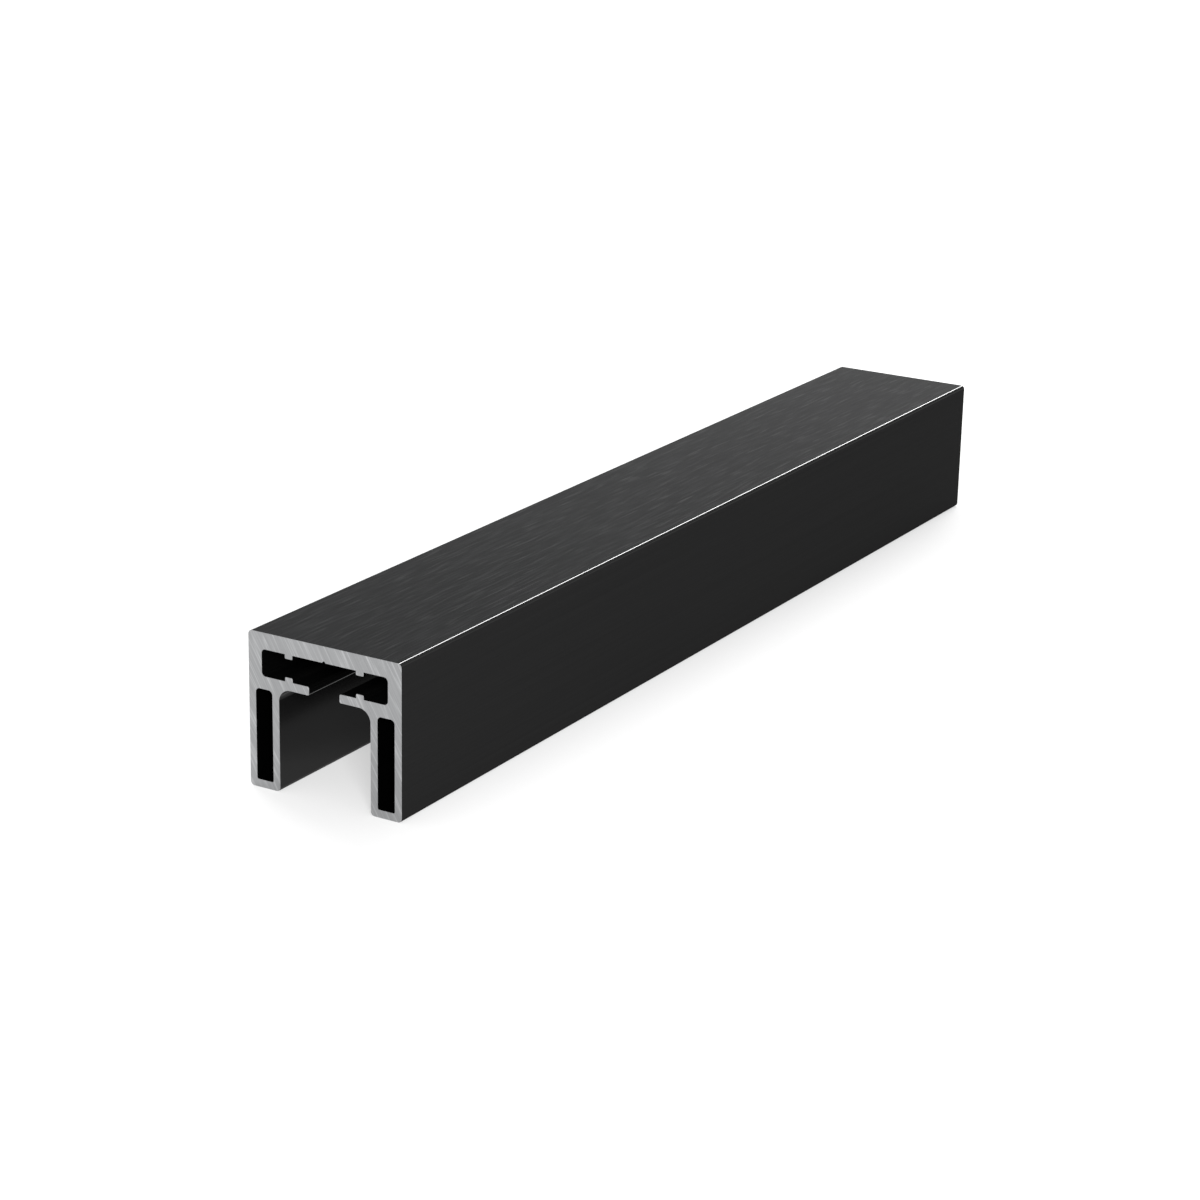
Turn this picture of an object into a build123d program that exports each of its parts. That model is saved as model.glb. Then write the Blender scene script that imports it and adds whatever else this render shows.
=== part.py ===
"""Top cap rail of a glass railing: one extruded aluminium profile, sawn square at both ends.

Frame: +X along the rail, +Z up, origin at mid length on the plane of the two feet.
The sketch below is drawn in the section, so its X is the frame's Y and its Y is the frame's Z.
"""

import os

from build123d import *

# Driving dimensions, in millimetres
rail_length = 285.0

# Groove between the legs, which takes the glass edge and its gasket
groove_width = 24.0
groove_depth = 24.0
groove_radius = 3.0

# Legs, each a thin box around one long chamber
leg_wall = 1.8
foot_thickness = 1.8
chamber_width = 4.4
chamber_top_radius = 1.0
chamber_foot_radius = 0.4

# Slot above the groove, with the two lips that half close it
slot_height = 6.2
slot_side_wall = 3.5
slot_radius = 1.0
lip_thickness = 2.0
lip_radius = 0.4
mouth_width = 8.0
bridge_thickness = 3.0

# Web over the slot, with its scribe line for drilling on centre
web_thickness = 3.8
scribe_width = 1.0
scribe_depth = 0.5

# Ribs that hold a flat connector off the slot's floor and roof
rib_width = 2.0
rib_height = 1.0
rib_offset = 9.3
rib_radius = 0.3

outer_radius = 1.0

# Sizes that follow from the ones above
leg_width = chamber_width + 2 * leg_wall
rail_width = groove_width + 2 * leg_width
slot_floor = groove_depth + lip_thickness
slot_roof = slot_floor + slot_height
rail_height = slot_roof + web_thickness
slot_width = rail_width - 2 * slot_side_wall
chamber_top = slot_floor - bridge_thickness
chamber_offset = (groove_width + leg_width) / 2

BOTTOM = (Align.CENTER, Align.MIN)
TOP = (Align.CENTER, Align.MAX)
MATCH = 1e-4


def corner_pair(sketch, half_width, height):
    """The section's two vertices at plus and minus half_width, at that height."""
    return sketch.vertices().filter_by(
        lambda v: abs(abs(v.X) - half_width) < MATCH and abs(v.Y - height) < MATCH
    )


os.makedirs("parts", exist_ok=True)

with BuildPart() as cap_rail:
    with BuildSketch(Plane.YZ.offset(-rail_length / 2)) as section:
        Rectangle(rail_width, rail_height, align=BOTTOM)

        # Groove, mouth and slot, one above the other
        Rectangle(groove_width, groove_depth, align=BOTTOM, mode=Mode.SUBTRACT)
        with Locations((0, groove_depth)):
            Rectangle(mouth_width, lip_thickness, align=BOTTOM, mode=Mode.SUBTRACT)
        with Locations((0, slot_floor)):
            Rectangle(slot_width, slot_height, align=BOTTOM, mode=Mode.SUBTRACT)

        # Scribe line in the slot's roof
        with BuildLine():
            Polyline(
                (-scribe_width / 2, slot_roof),
                (0, slot_roof + scribe_depth),
                (scribe_width / 2, slot_roof),
                close=True,
            )
        make_face(mode=Mode.SUBTRACT)

        # Ribs on the lips and, facing them, on the web
        with Locations((-rib_offset, slot_floor), (rib_offset, slot_floor)):
            Rectangle(rib_width, rib_height, align=BOTTOM)
        with Locations((-rib_offset, slot_roof), (rib_offset, slot_roof)):
            Rectangle(rib_width, rib_height, align=TOP)

        # Chambers in the legs
        with Locations((-chamber_offset, foot_thickness), (chamber_offset, foot_thickness)):
            Rectangle(chamber_width, chamber_top - foot_thickness, align=BOTTOM, mode=Mode.SUBTRACT)

        # Outer corners and feet
        fillet(corner_pair(section, rail_width / 2, rail_height), outer_radius)
        fillet(corner_pair(section, rail_width / 2, 0), outer_radius)
        fillet(corner_pair(section, groove_width / 2, 0), outer_radius)

        # Groove and slot
        fillet(corner_pair(section, groove_width / 2, groove_depth), groove_radius)
        for height in (groove_depth, slot_floor):
            fillet(corner_pair(section, mouth_width / 2, height), lip_radius)
        for height in (slot_floor, slot_roof):
            fillet(corner_pair(section, slot_width / 2, height), slot_radius)

        # Free corners of the ribs
        for side in (-rib_width / 2, rib_width / 2):
            for height in (slot_floor + rib_height, slot_roof - rib_height):
                fillet(corner_pair(section, rib_offset + side, height), rib_radius)

        # Chambers, rounder at the top than at the foot
        for side in (-chamber_width / 2, chamber_width / 2):
            fillet(corner_pair(section, chamber_offset + side, chamber_top), chamber_top_radius)
            fillet(corner_pair(section, chamber_offset + side, foot_thickness), chamber_foot_radius)
    extrude(amount=rail_length)

cap_rail.part.label = "cap_rail"
export_step(cap_rail.part, "parts/cap_rail.step")
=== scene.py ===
import math

import bmesh
import bpy
from mathutils import Matrix, Vector


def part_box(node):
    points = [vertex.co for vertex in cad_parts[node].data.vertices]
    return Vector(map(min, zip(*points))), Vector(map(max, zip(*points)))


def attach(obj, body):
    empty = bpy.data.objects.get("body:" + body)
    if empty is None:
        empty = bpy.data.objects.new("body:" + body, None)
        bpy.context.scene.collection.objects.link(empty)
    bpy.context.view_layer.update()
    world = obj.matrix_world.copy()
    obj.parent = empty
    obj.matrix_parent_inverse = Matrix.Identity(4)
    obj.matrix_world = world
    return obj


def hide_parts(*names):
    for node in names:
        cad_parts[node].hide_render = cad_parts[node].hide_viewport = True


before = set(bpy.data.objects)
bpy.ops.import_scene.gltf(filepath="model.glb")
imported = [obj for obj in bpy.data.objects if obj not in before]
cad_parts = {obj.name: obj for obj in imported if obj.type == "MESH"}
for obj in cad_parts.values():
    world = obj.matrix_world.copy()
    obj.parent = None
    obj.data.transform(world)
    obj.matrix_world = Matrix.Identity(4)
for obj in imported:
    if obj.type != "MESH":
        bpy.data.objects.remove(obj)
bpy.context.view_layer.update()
railLow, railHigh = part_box("cap_rail")
mm = 0.001
print("frame loaded, rail box in mm:", [round(v / mm, 2) for v in railHigh - railLow])


class Wire:  # one output socket; arithmetic on it adds Math nodes to its tree
    def __init__(self, bench, socket):
        self.bench = bench
        self.socket = socket

    def output(self, name):  # another output of the same node
        return Wire(self.bench, self.socket.node.outputs[name])

    def __add__(self, other):
        return self.bench.maths("ADD", self, other)

    def __radd__(self, other):
        return self.bench.maths("ADD", other, self)

    def __sub__(self, other):
        return self.bench.maths("SUBTRACT", self, other)

    def __rsub__(self, other):
        return self.bench.maths("SUBTRACT", other, self)

    def __mul__(self, other):
        return self.bench.maths("MULTIPLY", self, other)

    def __rmul__(self, other):
        return self.bench.maths("MULTIPLY", other, self)

    def __pow__(self, other):
        return self.bench.maths("POWER", self, other)

    def __rpow__(self, other):
        return self.bench.maths("POWER", other, self)

    def __gt__(self, other):
        return self.bench.maths("GREATER_THAN", self, other)

    def __lt__(self, other):
        return self.bench.maths("LESS_THAN", self, other)

    def __abs__(self):
        return self.bench.maths("ABSOLUTE", self)


class Bench:  # one node tree, and the way to add nodes to it
    def __init__(self, tree):
        self.tree = tree

    def feed(self, socket, value):
        if isinstance(value, Wire):
            self.tree.links.new(value.socket, socket)
        elif isinstance(value, list):  # a socket that takes several links
            for wire in value:
                self.tree.links.new(wire.socket, socket)
        else:
            socket.default_value = value

    def node(self, kind, settings=None, sockets=None, out=0):
        made = self.tree.nodes.new(kind)
        for name, value in (settings or {}).items():
            setattr(made, name, value)
        for name, value in (sockets or {}).items():
            self.feed(made.inputs[name], value)
        return Wire(self, made.outputs[out]) if made.outputs else made

    def maths(self, operation, *values):
        return self.node("ShaderNodeMath", {"operation": operation}, dict(enumerate(values)))

    def mixColour(self, factor, low, high):
        return self.node("ShaderNodeMix", {"data_type": "RGBA"}, {0: factor, 6: low, 7: high}, out=2)

    def span(self, value, fromLow, fromHigh, toLow, toHigh):  # carries a value from one range to another
        places = {"From Min": fromLow, "From Max": fromHigh, "To Min": toLow, "To Max": toHigh}
        return self.node("ShaderNodeMapRange", {"clamp": True}, {"Value": value, **places})


def grey(level, tint=(1.0, 1.0, 1.0)):
    return (level * tint[0], level * tint[1], level * tint[2], 1.0)


def newMaterial(name):
    material = bpy.data.materials.new(name)
    material.use_nodes = True
    material.node_tree.nodes.clear()
    return material, Bench(material.node_tree)


noiseMiddle = 0.5
noiseReach = (0.3, 0.7)  # most of a noise's values lie between these
still = (0.0, 0.0, 0.0)  # neither turned nor shifted
swing = dict(scale=60.0, detail=1.0)  # how often the streaks wander, per metre


# Grain drawn out along a direction: sizes are one streak's extent along x, y and z, in metres
def streakNoise(bench, sizes, turn=still, shift=still, sway=0.0, detail=2.0):
    place = bench.node("ShaderNodeTexCoord", out="Object")
    if sway:  # let the streaks wander a little across the rail
        wander = {"Vector": place, "Scale": swing["scale"], "Detail": swing["detail"]}
        drift = bench.node("ShaderNodeTexNoise", None, wander)
        aside = bench.node("ShaderNodeCombineXYZ", None, {"Y": (drift - noiseMiddle) * sway * 2.0})
        place = bench.node("ShaderNodeVectorMath", {"operation": "ADD"}, {0: place, 1: aside})
    drawn = bench.node(
        "ShaderNodeMapping",
        {"vector_type": "TEXTURE"},
        {"Vector": place, "Location": shift, "Rotation": turn, "Scale": sizes},
    )
    return bench.node(
        "ShaderNodeTexNoise",
        {"noise_dimensions": "3D"},
        {"Vector": drawn, "Scale": 1.0, "Detail": detail},
    )


def surface(bench, constants, varied):
    shader = bench.node("ShaderNodeBsdfPrincipled", None, {**constants, **varied})
    bench.node("ShaderNodeOutputMaterial", None, {"Surface": shader})


def bump(bench, height, strength, depth):
    felt = {"Height": height, "Strength": strength, "Distance": depth}
    return bench.node("ShaderNodeBump", None, felt)


# Black anodised skin with the extrusion's faint draw lines; the groove, slot and chambers are given
# darker colours as painted shade
satin = dict(
    tint=(1.0, 1.0, 1.005),
    lineSize=(140 * mm, 0.35 * mm, 0.35 * mm),
    pitSize=(0.5 * mm, 0.5 * mm, 0.5 * mm),
    lineShare=0.6,  # of the draw lines in the pattern
    pitShare=0.4,
    pitDetail=3.0,
    depth=0.02 * mm,
    # Outer sides, blasted
    flat=dict(dark=0.0135, light=0.0175, gloss=0.003, rough=(0.50, 0.60), relief=0.08),
    # Groove, glossier as it left the die, its colour darker than the outer sides' as painted shade
    drawn=dict(dark=0.0056, light=0.0064, gloss=0.122, rough=(0.15, 0.17), relief=0.01),
    # Upper edges, burnished by handling
    edge=dict(dark=0.0125, light=0.0165, gloss=0.92, rough=(0.08, 0.10), relief=0.01),
    # Just below those edges
    shoulder=dict(dark=0.0125, light=0.0165, gloss=0.056, rough=(0.18, 0.22), relief=0.02),
    # Slot, its colour darkened as painted shade inside
    slot=dict(dark=0.0008, light=0.0028, gloss=0.02, rough=(0.25, 0.40), relief=0.08),
    # Chambers, their colour darkened further as painted shade inside
    hollow=dict(dark=0.0003, light=0.0008, gloss=0.002, rough=(0.60, 0.70), relief=0.08),
)


def makeSatin(name, finish):
    material, bench = newMaterial(name)
    lines = streakNoise(bench, satin["lineSize"])
    pits = streakNoise(bench, satin["pitSize"], detail=satin["pitDetail"])
    mixed = lines * satin["lineShare"] + pits * satin["pitShare"]
    colour = bench.mixColour(
        bench.span(mixed, *noiseReach, 0.0, 1.0),
        grey(finish["dark"], satin["tint"]),
        grey(finish["light"], satin["tint"]),
    )
    surface(
        bench,
        {"Specular IOR Level": finish["gloss"]},
        {
            "Base Color": colour,
            "Roughness": bench.span(mixed, *noiseReach, *finish["rough"]),
            "Normal": bump(bench, mixed, finish["relief"], satin["depth"]),
        },
    )
    return material


# The top face, brushed along the rail before it was anodised
brushed = dict(
    dark=0.0050,
    light=0.0112,
    tint=(0.95, 1.0, 1.06),
    gloss=0.0145,
    rough=(0.18, 0.26),
    glint=0.10,  # how much metal shows through in the bright strokes
    sparkle=0.12,  # and in the few deepest ones
    dash=(10 * mm, 0.64 * mm, 0.64 * mm),  # short strokes of the belt
    hair=(14 * mm, 0.38 * mm, 0.38 * mm),  # finer scratches between them
    spark=(10 * mm, 0.72 * mm, 0.72 * mm),  # places where a stroke went deeper
    cloud=(50 * mm, 7 * mm, 7 * mm),  # uneven pressure of the belt
    hairShift=(0.11, 0.07, 0.0),  # shifts keep the patterns from falling together
    cloudShift=(0.31, 0.0, 0.0),
    sparkShift=(0.53, 0.19, 0.0),
    dashShare=0.65,
    hairShare=0.25,
    cloudShare=0.1,
    grainRange=(0.36, 0.72),  # of the mixed noise, from the darkest to the brightest stroke
    sharpness=1.8,  # leaves the bright strokes fewer
    sparkRange=(0.63, 0.74),  # only the noise's peaks
    sparkHeight=0.5,  # beside the grain's height of 1
    sway=0.4 * mm,  # how far a stroke wanders sideways
    relief=0.6,
    depth=0.03 * mm,
)


def makeBrushed():
    material, bench = newMaterial("brushedTop")
    sway = brushed["sway"]
    dash = streakNoise(bench, brushed["dash"], sway=sway, detail=1.0)
    hair = streakNoise(bench, brushed["hair"], shift=brushed["hairShift"], sway=sway)
    cloud = streakNoise(bench, brushed["cloud"], shift=brushed["cloudShift"], detail=1.0)
    strokes = dash * brushed["dashShare"] + hair * brushed["hairShare"] + cloud * brushed["cloudShare"]
    grain = bench.span(strokes, *brushed["grainRange"], 0.0, 1.0) ** brushed["sharpness"]
    spot = streakNoise(bench, brushed["spark"], shift=brushed["sparkShift"], sway=sway, detail=0.0)
    spark = bench.span(spot, *brushed["sparkRange"], 0.0, 1.0)
    height = grain + spark * brushed["sparkHeight"]
    colour = bench.mixColour(
        grain,
        grey(brushed["dark"], brushed["tint"]),
        grey(brushed["light"], brushed["tint"]),
    )
    surface(
        bench,
        {"Specular IOR Level": brushed["gloss"]},
        {
            "Base Color": colour,
            "Roughness": bench.span(hair, *noiseReach, *brushed["rough"]),
            "Metallic": grain * brushed["glint"] + spark * brushed["sparkle"],
            "Normal": bump(bench, height, brushed["relief"], brushed["depth"]),
        },
    )
    return material


# Bare aluminium where the saw went through
sawn = dict(
    dark=0.283,
    light=0.44,
    tint=(0.985, 0.995, 1.01),
    metal=0.9,
    rough=(0.34, 0.48),
    slope=math.radians(60),  # the marks lean this far up from the rail's width
    stroke=(9 * mm, 34 * mm, 1.5 * mm),  # paths of the teeth that shine
    scratch=(9 * mm, 22 * mm, 0.34 * mm),  # finer marks all over
    scratchShift=(0.0, 0.05, 0.02),  # keeps the two patterns from falling together
    scratchRange=(0.35, 0.65),
    lineWidth=0.055,  # how much of a path shines
    lineLow=0.2,  # how strongly it shines where the finer marks are dark
    lineGain=0.6,  # and how much more where they are light
    scratchShare=0.35,
    relief=0.1,
    depth=0.03 * mm,
)


def makeSawn():
    material, bench = newMaterial("sawnAluminium")
    turn = (sawn["slope"], 0.0, 0.0)
    stroke = streakNoise(bench, sawn["stroke"], turn, detail=1.0)
    scratch = streakNoise(bench, sawn["scratch"], turn, shift=sawn["scratchShift"], detail=2.0)
    offMiddle = abs(stroke - noiseMiddle)  # a thin line shines where the noise crosses its middle
    line = bench.span(offMiddle, 0.0, sawn["lineWidth"], 1.0, 0.0)
    fine = bench.span(scratch, *sawn["scratchRange"], 0.0, 1.0)
    marks = line * (fine * sawn["lineGain"] + sawn["lineLow"]) + fine * sawn["scratchShare"]
    colour = bench.mixColour(
        marks,
        grey(sawn["dark"], sawn["tint"]),
        grey(sawn["light"], sawn["tint"]),
    )
    surface(
        bench,
        {"Metallic": sawn["metal"]},
        {
            "Base Color": colour,
            "Roughness": bench.span(scratch, *noiseReach, *sawn["rough"]),
            "Normal": bump(bench, marks, sawn["relief"], sawn["depth"]),
        },
    )
    return material


# The rail: its section, drawn once for one half and mirrored, is run along its length
rail = dict(
    length=railHigh.x - railLow.x,
    width=railHigh.y - railLow.y,
    height=railHigh.z - railLow.z,
    grooveWidth=24 * mm,
    grooveDepth=24 * mm,
    grooveRadius=3 * mm,
    legWall=1.8 * mm,
    footThickness=1.8 * mm,
    chamberTopRadius=1 * mm,
    chamberFootRadius=0.4 * mm,
    slotHeight=6.2 * mm,
    slotSideWall=3.5 * mm,
    slotRadius=1 * mm,
    lipThickness=2 * mm,
    lipRadius=0.4 * mm,
    mouthWidth=8 * mm,
    bridgeThickness=3 * mm,
    scribeWidth=1 * mm,
    scribeDepth=0.5 * mm,
    ribWidth=2 * mm,
    ribHeight=1 * mm,
    ribOffset=9.3 * mm,
    ribRadius=0.3 * mm,
    outerRadius=1 * mm,
    edgeBreak=0.04 * mm,  # file stroke round the sawn ends
    rubbedBand=(0.92, 0.98),  # part of the upper roundings that hands rub, by how level it lies
    shoulderBand=(0.30, 0.47),  # and the part below, where they lean into the sides
    stepsPerMm=10,  # flats in a rounding, for each mm of its radius
    stepsAtLeast=6,
    weld=0.002 * mm,  # points nearer than this become one
    smoothBelow=math.radians(30),  # sharper corners stay crisp
    flatWeight=100,  # how far large faces rule the shading, 50 being even
)


# Corners of the section's right half as (across, up, radius), from the top edge to the scribe line
def halfOutline(size):
    side = size["width"] / 2
    groove = size["grooveWidth"] / 2
    mouth = size["mouthWidth"] / 2
    slot = side - size["slotSideWall"]
    ceiling = size["grooveDepth"]
    floor = ceiling + size["lipThickness"]
    roof = floor + size["slotHeight"]
    ribIn = size["ribOffset"] - size["ribWidth"] / 2
    ribOut = size["ribOffset"] + size["ribWidth"] / 2
    ribLow = floor + size["ribHeight"]
    ribHigh = roof - size["ribHeight"]
    return [
        (side, size["height"], size["outerRadius"]),
        (side, 0.0, size["outerRadius"]),
        (groove, 0.0, size["outerRadius"]),
        (groove, ceiling, size["grooveRadius"]),
        (mouth, ceiling, size["lipRadius"]),
        (mouth, floor, size["lipRadius"]),
        (ribIn, floor, 0.0),
        (ribIn, ribLow, size["ribRadius"]),
        (ribOut, ribLow, size["ribRadius"]),
        (ribOut, floor, 0.0),
        (slot, floor, size["slotRadius"]),
        (slot, roof, size["slotRadius"]),
        (ribOut, roof, 0.0),
        (ribOut, ribHigh, size["ribRadius"]),
        (ribIn, ribHigh, size["ribRadius"]),
        (ribIn, roof, 0.0),
        (size["scribeWidth"] / 2, roof, 0.0),
    ]


def chamberOutline(size):
    outer = size["width"] / 2 - size["legWall"]
    inner = size["grooveWidth"] / 2 + size["legWall"]
    top = size["grooveDepth"] + size["lipThickness"] - size["bridgeThickness"]
    return [
        (inner, size["footThickness"], size["chamberFootRadius"]),
        (inner, top, size["chamberTopRadius"]),
        (outer, top, size["chamberTopRadius"]),
        (outer, size["footThickness"], size["chamberFootRadius"]),
    ]


def mirrored(corners):
    return [(-across, up, radius) for across, up, radius in reversed(corners)]


# Loops run with the metal on their left, so that one rule finds the way out of it
def sectionCurve(size):
    half = halfOutline(size)
    scribeTip = (0.0, half[-1][1] + size["scribeDepth"], 0.0)
    outline = half + [scribeTip] + mirrored(half)
    chamber = chamberOutline(size)
    curve = bpy.data.curves.new("railSection", "CURVE")
    curve.dimensions = "3D"
    for corners in (list(reversed(outline)), chamber, mirrored(chamber)):
        spline = curve.splines.new("POLY")
        spline.points.add(len(corners) - 1)
        spline.use_cyclic_u = True
        for point, (across, up, radius) in zip(spline.points, corners):
            point.co = (across, up, 0.0, 1.0)
            point.radius = radius
    return bpy.data.objects.new("railSection", curve)


def railTree():
    tree = bpy.data.node_groups.new("railExtrusion", "GeometryNodeTree")
    tree.is_modifier = True
    ports = tree.interface
    ports.new_socket("Section", in_out="INPUT", socket_type="NodeSocketGeometry")
    ports.new_socket("Length", in_out="INPUT", socket_type="NodeSocketFloat")
    ports.new_socket("Height", in_out="INPUT", socket_type="NodeSocketFloat")
    ports.new_socket("Edge Break", in_out="INPUT", socket_type="NodeSocketFloat")
    for name in ("Satin", "Drawn", "Slot", "Hollow", "Burnished", "Shoulder", "Brushed", "Sawn"):
        ports.new_socket(name, in_out="INPUT", socket_type="NodeSocketMaterial")
    ports.new_socket("Rail", in_out="OUTPUT", socket_type="NodeSocketGeometry")
    bench = Bench(tree)
    given = bench.node("NodeGroupInput", out="Section")
    length = given.output("Length")
    height = given.output("Height")
    edgeBreak = given.output("Edge Break")

    # Round the corners by the radius that each point carries, in more steps where it is larger
    radius = bench.node("GeometryNodeInputRadius")
    steps = radius * (rail["stepsPerMm"] / mm) + rail["stepsAtLeast"]
    section = bench.node(
        "GeometryNodeFilletCurve",
        {"mode": "POLY"},
        {"Curve": given, "Count": steps, "Radius": radius},
    )

    # Keep with each point the direction that leads out of the metal
    tangent = bench.node("ShaderNodeSeparateXYZ", None, {0: bench.node("GeometryNodeInputTangent")})
    outward = bench.node(
        "ShaderNodeCombineXYZ", None, {"X": tangent.output("Y"), "Y": 0 - tangent.output("X")}
    )
    section = bench.node(
        "GeometryNodeStoreNamedAttribute",
        {"data_type": "FLOAT_VECTOR", "domain": "POINT"},
        {"Geometry": section, "Name": "outward", "Value": outward},
    )
    kept = bench.node(
        "GeometryNodeInputNamedAttribute", {"data_type": "FLOAT_VECTOR"}, {"Name": "outward"}
    )
    inset = bench.node(
        "ShaderNodeVectorMath", {"operation": "SCALE"}, {0: kept, "Scale": 0 - edgeBreak}
    )

    # Walls: three runs, of which the first and last are the broken edges
    walls = bench.node("GeometryNodeCurveToMesh", None, {"Curve": section})
    run = None
    for rise in (edgeBreak, length - 2 * edgeBreak, edgeBreak):
        way = bench.node("ShaderNodeCombineXYZ", None, {"Z": rise})
        drawn = {"Mesh": walls, "Offset": way}
        if run:
            drawn["Selection"] = run.output("Top")
        run = bench.node("GeometryNodeExtrudeMesh", {"mode": "EDGES"}, drawn)
        walls = run
    spot = bench.node("ShaderNodeSeparateXYZ", None, {0: bench.node("GeometryNodeInputPosition")})
    atEnd = abs(spot.output("Z") - length * 0.5) > length * 0.5 - edgeBreak * 0.5
    drawnBack = {"Geometry": walls, "Selection": atEnd, "Offset": inset}
    walls = bench.node("GeometryNodeSetPosition", None, drawnBack)

    # End faces, with the chambers left open
    drawnIn = bench.node("GeometryNodeSetPosition", None, {"Geometry": section, "Offset": inset})
    nearEnd = bench.node("GeometryNodeFillCurve", {"mode": "NGONS"}, {"Curve": drawnIn})
    farPlace = bench.node("ShaderNodeCombineXYZ", None, {"Z": length})
    farEnd = bench.node("GeometryNodeTransform", None, {"Geometry": nearEnd, "Translation": farPlace})
    whole = bench.node("GeometryNodeJoinGeometry", None, {0: [walls, nearEnd, farEnd]})
    whole = bench.node("GeometryNodeMergeByDistance", None, {"Geometry": whole, "Distance": rail["weld"]})
    whole = bench.node("GeometryNodeRemoveAttribute", None, {"Geometry": whole, "Name": "outward"})

    # Lay it along x, with mid length over the origin
    start = bench.node("ShaderNodeCombineXYZ", None, {"X": length * -0.5})
    quarter = math.pi / 2
    whole = bench.node(
        "GeometryNodeTransform",
        None,
        {"Geometry": whole, "Translation": start, "Rotation": (quarter, 0.0, quarter)},
    )
    whole = bench.node("GeometryNodeRealizeInstances", None, {"Geometry": whole})

    # Finishes, by which way a face looks and where it is; the groove, chambers and slot take the darker
    # colours of painted shade
    leaning = 0.01  # a face that looks this far to a side is tilted
    slack = 0.1 * mm
    facing = bench.node("ShaderNodeSeparateXYZ", None, {0: bench.node("GeometryNodeInputNormal")})
    place = bench.node("ShaderNodeSeparateXYZ", None, {0: bench.node("GeometryNodeInputPosition")})
    up = place.output("Z")
    aside = abs(place.output("Y"))
    level = abs(facing.output("Z"))
    tilted = (abs(facing.output("Y")) > leaning) * (level > leaning)
    rounded = (aside > rail["width"] / 2 - rail["outerRadius"]) * (up > height * 0.5)
    rubbed = rounded * (level > rail["rubbedBand"][0]) * (level < rail["rubbedBand"][1])
    shoulder = rounded * (level > rail["shoulderBand"][0]) * (level < rail["shoulderBand"][1])
    onTop = up > height - edgeBreak * 0.25
    legMid = (rail["width"] + rail["grooveWidth"]) / 4
    chamberHalf = legMid - rail["grooveWidth"] / 2 - rail["legWall"]
    ceiling = rail["grooveDepth"]
    lipEdge = ceiling + rail["lipRadius"]
    aboveFoot = up > rail["footThickness"] - slack
    inChamber = (abs(aside - legMid) < chamberHalf + slack) * aboveFoot * (up < ceiling)
    inGroove = (aside < rail["grooveWidth"] / 2 + slack) * (up < ceiling + slack)
    inWidth = aside < (rail["width"] - rail["slotSideWall"]) / 2
    inSlot = inWidth * (up > lipEdge) * (up < height - rail["outerRadius"])
    onLip = tilted * (aside < rail["mouthWidth"] / 2 + rail["lipRadius"]) * (up < lipEdge)
    sawnOff = abs(place.output("X")) > length * 0.5 - edgeBreak
    everywhere = {"Geometry": whole, "Material": given.output("Satin")}
    whole = bench.node("GeometryNodeSetMaterial", None, everywhere)
    zones = (
        (inGroove, "Drawn"),
        (inChamber, "Hollow"),
        (inSlot, "Slot"),
        (onLip, "Burnished"),
        (rubbed, "Burnished"),
        (shoulder, "Shoulder"),
        (onTop, "Brushed"),
        (sawnOff, "Sawn"),
    )
    for where, port in zones:
        finish = {"Geometry": whole, "Selection": where, "Material": given.output(port)}
        whole = bench.node("GeometryNodeSetMaterial", None, finish)
    bench.node("NodeGroupOutput", None, {"Rail": whole})
    return tree


def plainMesh(host, name):  # the evaluated result, with every modifier in it
    graph = bpy.context.evaluated_depsgraph_get()
    mesh = bpy.data.meshes.new_from_object(
        host.evaluated_get(graph), preserve_all_data_layers=True, depsgraph=graph
    )
    mesh.name = name
    return mesh


# The rail's own map: its section unrolled into strips along u, with the end faces in a column beside them
bakeMap = dict(
    name="OFBake",
    stripWidth=0.60,  # share of the map's width that the strips take
    rimWidth=0.002,  # room for a broken edge, which would be too narrow at scale
    gutter=0.006,
    wallFacing=0.1,  # walls look along the rail by less than this
    endFacing=0.9,  # and end faces by more than this
    density=dict(  # how finely each finish is drawn across the strips
        brushedTop=9.0,
        burnishedEdge=9.0,
        shoulderBlack=9.0,
        satinBlack=4.0,
        drawnAndShadedGroove=2.0,
        slotPaintedShade=1.2,
        hollowPaintedShade=0.8,
    ),
)


def alongEdges(wall):  # the two edges of a wall that lie along the rail
    return sorted(wall.edges, key=lambda edge: edge.calc_length())[-2:]


# Each closed loop of the section as its walls, in order, each with the edges where it starts and ends
def wallRings(shape):
    rings = []
    done = set()
    for first in shape.faces:
        if abs(first.normal.x) > bakeMap["wallFacing"] or first in done:
            continue
        ring = []
        wall = first
        start = alongEdges(wall)[0]
        while wall not in done:
            done.add(wall)
            end = next(edge for edge in alongEdges(wall) if edge != start)
            ring.append((wall, start, end))
            wall = next(other for other in end.link_faces if other != wall)
            start = end
        rings.append(ring)
    return rings


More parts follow.
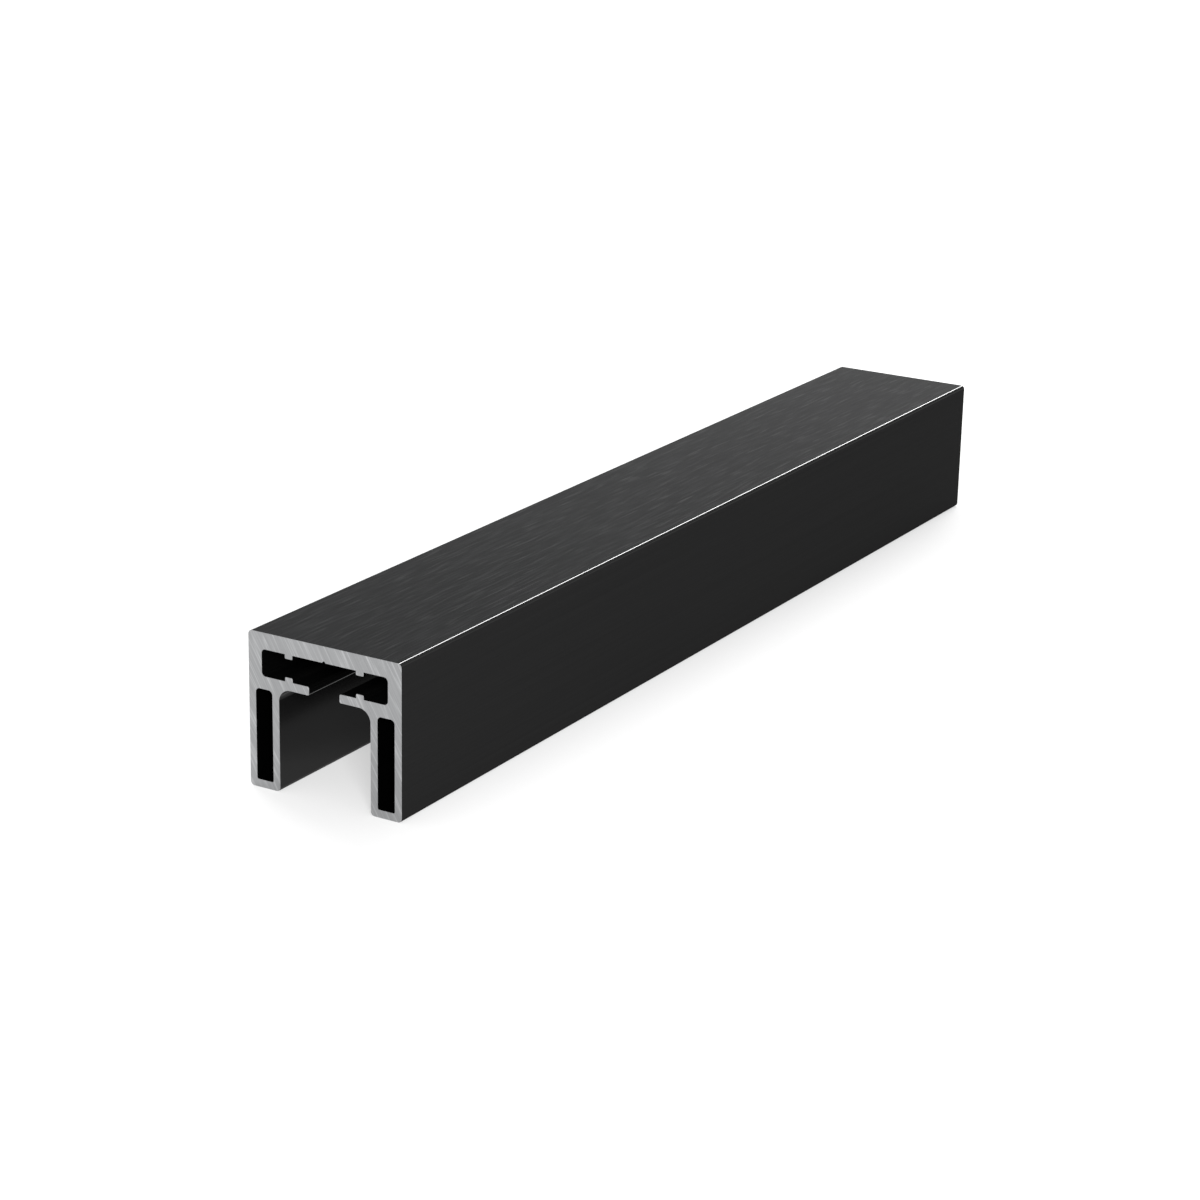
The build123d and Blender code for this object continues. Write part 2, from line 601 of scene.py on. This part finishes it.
def layMap(shape, finishes):
    uv = shape.loops.layers.uv.new(bakeMap["name"])
    gutter = bakeMap["gutter"]
    rimWidth = bakeMap["rimWidth"]
    left = gutter + rimWidth
    right = bakeMap["stripWidth"] - rimWidth
    rings = wallRings(shape)

    def weight(wall, start, end):
        width = (end.verts[0].co.yz - start.verts[0].co.yz).length
        return width * bakeMap["density"][finishes[wall.material_index]]

    total = sum(weight(*wall) for ring in rings for wall in ring)
    scale = (1.0 - gutter * (len(rings) + 1)) / total
    low = gutter
    for ring in rings:
        for wall, start, end in ring:
            high = low + weight(wall, start, end) * scale
            level = {vertex: low for vertex in start.verts}
            level.update({vertex: high for vertex in end.verts})
            crossings = [edge for edge in wall.edges if edge not in (start, end)]
            rims = [face for edge in crossings for face in edge.link_faces]
            for loop in [loop for face in rims for loop in face.loops]:
                nearby = (loop.vert, loop.link_loop_next.vert, loop.link_loop_prev.vert)
                height = next(level[vertex] for vertex in nearby if vertex in level)
                out = 0.0 if loop.vert in level else rimWidth  # the rim's far side
                place = left - out if loop.vert.co.x < 0.0 else right + out
                loop[uv].uv = (place, height)
            low = high
        low += gutter

    columnLeft = bakeMap["stripWidth"] + gutter
    columnWidth = 1.0 - gutter - columnLeft
    columnHeight = 0.5 - 1.5 * gutter
    for face in shape.faces:
        if abs(face.normal.x) < bakeMap["endFacing"]:
            continue
        foot = gutter if face.normal.x < 0.0 else 0.5 + 0.5 * gutter
        for loop in face.loops:
            across = (loop.vert.co.y - railLow.y) / rail["width"]
            up = (loop.vert.co.z - railLow.z) / rail["height"]
            loop[uv].uv = (columnLeft + across * columnWidth, foot + up * columnHeight)


def makeRail():
    host = sectionCurve(rail)
    bpy.context.scene.collection.objects.link(host)
    tree = railTree()
    modifier = host.modifiers.new("railExtrusion", "NODES")
    modifier.node_group = tree
    wanted = {
        "Length": rail["length"],
        "Height": rail["height"],
        "Edge Break": rail["edgeBreak"],
        "Satin": makeSatin("satinBlack", satin["flat"]),
        "Drawn": makeSatin("drawnAndShadedGroove", satin["drawn"]),
        "Slot": makeSatin("slotPaintedShade", satin["slot"]),
        "Hollow": makeSatin("hollowPaintedShade", satin["hollow"]),
        "Burnished": makeSatin("burnishedEdge", satin["edge"]),
        "Shoulder": makeSatin("shoulderBlack", satin["shoulder"]),
        "Brushed": makeBrushed(),
        "Sawn": makeSawn(),
    }
    for item in tree.interface.items_tree:
        if item.name in wanted:
            modifier[item.identifier] = wanted[item.name]
    mesh = plainMesh(host, "capRail")
    mesh.materials.pop(index=0)  # the empty slot that Set Material leaves for unset faces
    bpy.data.objects.remove(host)

    shape = bmesh.new()
    shape.from_mesh(mesh)
    bmesh.ops.recalc_face_normals(shape, faces=shape.faces)
    layMap(shape, [material.name for material in mesh.materials])
    shape.to_mesh(mesh)
    shape.free()
    mesh.shade_smooth()
    mesh.set_sharp_from_angle(angle=rail["smoothBelow"])
    piece = bpy.data.objects.new("capRail", mesh)
    bpy.context.scene.collection.objects.link(piece)
    flats = piece.modifiers.new("flatFaces", "WEIGHTED_NORMAL")  # keeps faces flat beside rounded edges
    flats.weight = rail["flatWeight"]
    flats.keep_sharp = True
    level = plainMesh(piece, "capRail")
    piece.modifiers.clear()
    piece.data = level
    return piece


capRail = makeRail()
print("rail made:", len(capRail.data.polygons), "faces in", len(capRail.data.materials), "finishes")

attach(capRail, "root")
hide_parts("cap_rail")

# Floor: white to the eye and in reflections, and still darkened by the rail's shadow
floorSet = dict(
    half=6.0,
    colour=0.5,
    glow=(0.45, 0.62),  # beside the rail and past it
    fade=(0.15, 0.6),  # where the one turns into the other, from mid rail
    farGlow=0.38,  # added towards the horizon
    farFade=(0.6, 3.0),
    gap=0.02 * mm,  # below the feet
)


def seenRay(bench):  # 1 for what the camera sees, directly, mirrored or through glass
    path = bench.node("ShaderNodeLightPath", out="Is Camera Ray")
    seen = bench.maths("MAXIMUM", path, path.output("Is Glossy Ray"))
    return bench.maths("MAXIMUM", seen, path.output("Is Transmission Ray"))


def makeFloor():
    half = floorSet["half"]
    mesh = bpy.data.meshes.new("floor")
    corners = [(-half, -half, 0.0), (half, -half, 0.0), (half, half, 0.0), (-half, half, 0.0)]
    mesh.from_pydata(corners, [], [(0, 1, 2, 3)])
    material, bench = newMaterial("paleFloor")
    lit = bench.node("ShaderNodeBsdfDiffuse", None, {"Color": grey(floorSet["colour"])})
    place = bench.node("ShaderNodeTexCoord", out="Object")
    reach = bench.node("ShaderNodeVectorMath", {"operation": "LENGTH"}, {0: place}, out="Value")
    near = bench.span(reach, *floorSet["fade"], *floorSet["glow"])
    far = bench.span(reach, *floorSet["farFade"], 0.0, floorSet["farGlow"])
    strength = near + far  # rises to plain white away from the rail
    shown = {"Color": grey(1.0), "Strength": seenRay(bench) * strength}
    glow = bench.node("ShaderNodeEmission", None, shown)
    both = bench.node("ShaderNodeAddShader", None, {0: lit, 1: glow})
    bench.node("ShaderNodeOutputMaterial", None, {"Surface": both})
    mesh.materials.append(material)
    floor = bpy.data.objects.new("floor", mesh)
    bpy.context.scene.collection.objects.link(floor)
    floor.location.z = railLow.z - floorSet["gap"]
    return floor


makeFloor()
print("floor laid")

# Light: an even white room, a long softbox overhead that shines along the edge, and two fills
roomSet = dict(light=0.6)
lampSet = dict(
    longSoftbox=dict(
        spot=(1.6, 0.23, 1.04), aim=(1.6, 0.23, 0.0), size=(1.5, 0.5), watts=30.0, shine=True
    ),
    frontFill=dict(
        spot=(-1.0, -0.6, 0.46), aim=(-0.1, 0.0, 0.0), size=(0.5, 0.5), watts=18.0, shine=False
    ),
    backFill=dict(
        spot=(0.7, 1.2, 0.6), aim=(0.0, 0.0, 0.0), size=(0.8, 0.8), watts=16.0, shine=False
    ),
)


def makeRoom():
    world = bpy.data.worlds.new("room")
    world.use_nodes = True
    world.node_tree.nodes.clear()
    bench = Bench(world.node_tree)
    strength = bench.span(seenRay(bench), 0.0, 1.0, roomSet["light"], 1.0)
    light = bench.node("ShaderNodeBackground", None, {"Color": grey(1.0), "Strength": strength})
    bench.node("ShaderNodeOutputWorld", None, {"Surface": light})
    bpy.context.scene.world = world


def makeLamps():
    for name, lamp in lampSet.items():
        light = bpy.data.lights.new(name, "AREA")
        light.shape = "RECTANGLE"
        light.size, light.size_y = lamp["size"]
        light.energy = lamp["watts"]
        holder = bpy.data.objects.new(name, light)
        spot = Vector(lamp["spot"])
        aim = (Vector(lamp["aim"]) - spot).to_track_quat("-Z", "Y")
        holder.matrix_world = Matrix.Translation(spot) @ aim.to_matrix().to_4x4()
        holder.visible_camera = False
        holder.visible_glossy = lamp["shine"]  # the fills light the skin without a glare on it
        bpy.context.scene.collection.objects.link(holder)


makeRoom()
makeLamps()
print("room and", len(lampSet), "lamps set")

# Camera: placed so that the rail's straight edges run as they do in the picture
cameraSet = dict(
    fromNearEnd=(-0.48497, -0.35314, 0.24748),  # from the middle of the near end's foot line
    azimuth=-59.529,
    elevation=18.501,
    roll=1.201,
    lens=89.53,
    sensor=36.0,
)


def makeCamera():
    data = bpy.data.cameras.new("camera")
    data.lens = cameraSet["lens"]
    data.sensor_width = cameraSet["sensor"]
    camera = bpy.data.objects.new("camera", data)
    nearEnd = Vector((railLow.x, (railLow.y + railHigh.y) / 2, railLow.z))
    turn = Matrix.Rotation(math.radians(cameraSet["azimuth"]), 4, "Z")
    tilt = Matrix.Rotation(math.radians(90.0 - cameraSet["elevation"]), 4, "X")
    roll = Matrix.Rotation(math.radians(cameraSet["roll"]), 4, "Z")
    place = Matrix.Translation(nearEnd + Vector(cameraSet["fromNearEnd"]))
    camera.matrix_world = place @ turn @ tilt @ roll
    bpy.context.scene.collection.objects.link(camera)
    bpy.context.scene.camera = camera


makeCamera()
bpy.context.scene.view_settings.view_transform = "Standard"
print("camera set")
